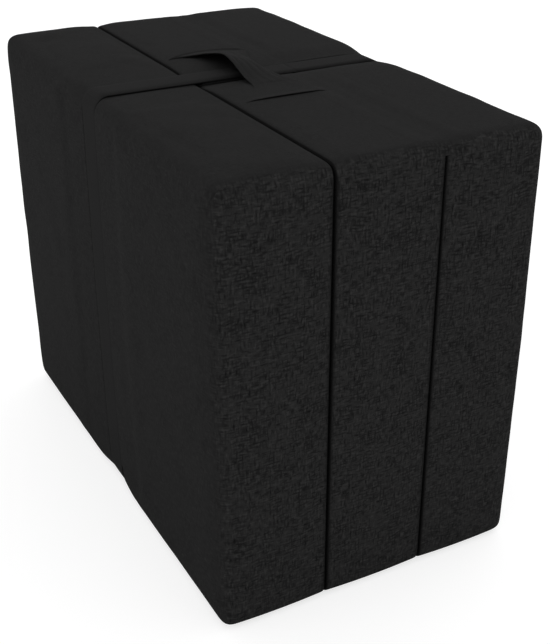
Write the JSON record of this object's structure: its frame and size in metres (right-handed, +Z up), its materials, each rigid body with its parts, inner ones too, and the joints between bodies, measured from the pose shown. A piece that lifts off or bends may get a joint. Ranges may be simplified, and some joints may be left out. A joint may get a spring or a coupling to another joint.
{
  "type": "folding mattress bed",
  "caption": "Tri-fold foam guest mattress, folded into an upright block, with a strap round it and a cloth carrying handle on top.",
  "frame": {"origin": "middle of the folded block's footprint, on the floor it stands on", "axes": "+Z up; X across the three panels, from the left panel to the right one; Y along the block, from the front ends to the rear ends with the zips"},
  "size_m": [0.481, 0.8155, 0.6793],
  "materials": {
    "cover_cloth": "matt woven polyester",
    "foam": "open-cell foam",
    "strap_webbing": "flat webbing",
    "hook_fastening": "hook tape",
    "loop_fastening": "loop tape",
    "fold_tape": "matt woven polyester",
    "handle_cloth": "matt woven polyester, gathered",
    "zip_tape": "herringbone tape",
    "zip_coil": "nylon coil",
    "zip_metal": "black lacquer"
  },
  "bodies": {
    "middle_panel": {"cover_middle": "cover_cloth", "foam_core_middle": "foam", "carrying_handle": "handle_cloth", "handle_hem_front": "handle_cloth", "handle_hem_rear": "handle_cloth", "strap_middle_top": "strap_webbing", "strap_middle_bottom": "strap_webbing", "loop_patch_top": "loop_fastening", "loop_patch_bottom": "loop_fastening", "fold_tape_bottom_middle": "fold_tape", "fold_tape_top_middle": "fold_tape", "zip_tape_middle": "zip_tape", "zip_coil_middle": "zip_coil", "zip_stops_middle": "zip_metal"},
    "left_panel": {"cover_left": "cover_cloth", "foam_core_left": "foam", "strap_left": "strap_webbing", "hook_patch_top": "hook_fastening", "fold_tape_bottom_left": "fold_tape", "zip_tape_left": "zip_tape", "zip_coil_left": "zip_coil", "zip_stops_left": "zip_metal"},
    "right_panel": {"cover_right": "cover_cloth", "foam_core_right": "foam", "strap_right": "strap_webbing", "hook_patch_bottom": "hook_fastening", "fold_tape_top_right": "fold_tape", "zip_tape_right": "zip_tape", "zip_coil_right": "zip_coil", "zip_stops_right": "zip_metal"},
    "slider_left": {"zip_slider_left": "zip_metal"},
    "pull_left": {"zip_pull_left": "zip_metal"},
    "slider_middle": {"zip_slider_middle": "zip_metal"},
    "pull_middle": {"zip_pull_middle": "zip_metal"},
    "slider_right": {"zip_slider_right": "zip_metal"},
    "pull_right": {"zip_pull_right": "zip_metal"}
  },
  "joints": [
    {"name": "fold_left", "type": "hinge", "parent": "middle_panel", "child": "left_panel", "pos_m": [-0.079, 0, -0.0025], "axis": [0, -1, 0], "range_deg": [0, 180]},
    {"name": "fold_right", "type": "hinge", "parent": "middle_panel", "child": "right_panel", "pos_m": [0.079, 0, 0.6525], "axis": [0, -1, 0], "range_deg": [0, 180], "deforming": ["carrying_handle"]},
    {"name": "zip_run_left", "type": "slide", "parent": "left_panel", "child": "slider_left", "axis": [0, 0, 1], "range_m": [0, 0.539]},
    {"name": "pull_swing_left", "type": "hinge", "parent": "slider_left", "child": "pull_left", "pos_m": [-0.16025, 0.4064, 0.0578], "axis": [1, 0, 0], "range_deg": [0, 150]},
    {"name": "zip_run_middle", "type": "slide", "parent": "middle_panel", "child": "slider_middle", "axis": [0, 0, 1], "range_m": [0, 0.539]},
    {"name": "pull_swing_middle", "type": "hinge", "parent": "slider_middle", "child": "pull_middle", "pos_m": [0, 0.4064, 0.0578], "axis": [1, 0, 0], "range_deg": [0, 150]},
    {"name": "zip_run_right", "type": "slide", "parent": "right_panel", "child": "slider_right", "axis": [0, 0, 1], "range_m": [0, 0.539]},
    {"name": "pull_swing_right", "type": "hinge", "parent": "slider_right", "child": "pull_right", "pos_m": [0.16025, 0.4064, 0.0578], "axis": [1, 0, 0], "range_deg": [0, 150]}
  ]
}
